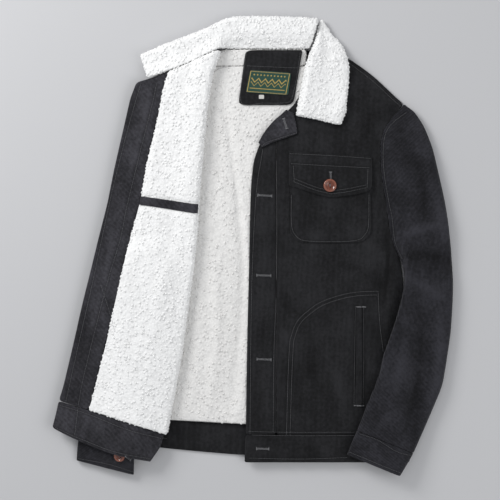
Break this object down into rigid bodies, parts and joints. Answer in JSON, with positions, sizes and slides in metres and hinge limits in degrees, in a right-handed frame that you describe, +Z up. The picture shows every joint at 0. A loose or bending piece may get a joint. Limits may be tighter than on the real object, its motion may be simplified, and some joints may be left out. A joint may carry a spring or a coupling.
{
  "type": "sherpa lined corduroy jacket",
  "caption": "corduroy jacket with sherpa collar and lining, laid flat with its right front turned open",
  "frame": {"origin": "centre of the footprint on the resting surface, at z = 0 under the jacket", "axes": "+X to the right of the laid jacket (the wearer's left), +Y from waistband to collar, +Z up from the surface"},
  "size_m": [0.6976, 0.7996, 0.0373],
  "materials": {
    "corduroy": "fine wale cotton corduroy, charcoal",
    "facing": "inside facing of the same corduroy, wales along the front edge",
    "sherpa": "curly off-white sherpa pile",
    "label": "woven damask neck label, dark green and gold",
    "tag": "small pale woven size tab",
    "button": "red-brown two-hole button with a raised rim"
  },
  "bodies": {
    "root": {"back_shell": "corduroy", "back_hem_band": "corduroy", "left_front_shell": "corduroy", "left_front_band": "corduroy", "left_hem_band": "corduroy", "chest_pocket": "corduroy", "chest_flap": "corduroy", "hand_pocket_welt": "corduroy", "left_top_sleeve": "corduroy", "left_under_sleeve": "corduroy", "left_cuff": "corduroy", "right_front_shell": "corduroy", "right_top_sleeve": "corduroy", "right_under_sleeve": "corduroy", "right_cuff": "corduroy", "inside_pocket_welt": "corduroy", "hanger_patch": "corduroy", "left_corner": "facing", "right_facing": "facing", "right_hem_band": "facing", "back_lining": "sherpa", "neck_facing": "sherpa", "right_front_lining": "sherpa", "collar": "sherpa", "collar_fall": "sherpa", "woven_label": "label", "size_tab": "tag", "chest_button": "button", "right_cuff_button": "button", "right_front_button_1": "button", "right_front_button_2": "button", "right_front_button_3": "button", "right_front_button_4": "button", "right_front_button_5": "button"}
  },
  "joints": []
}
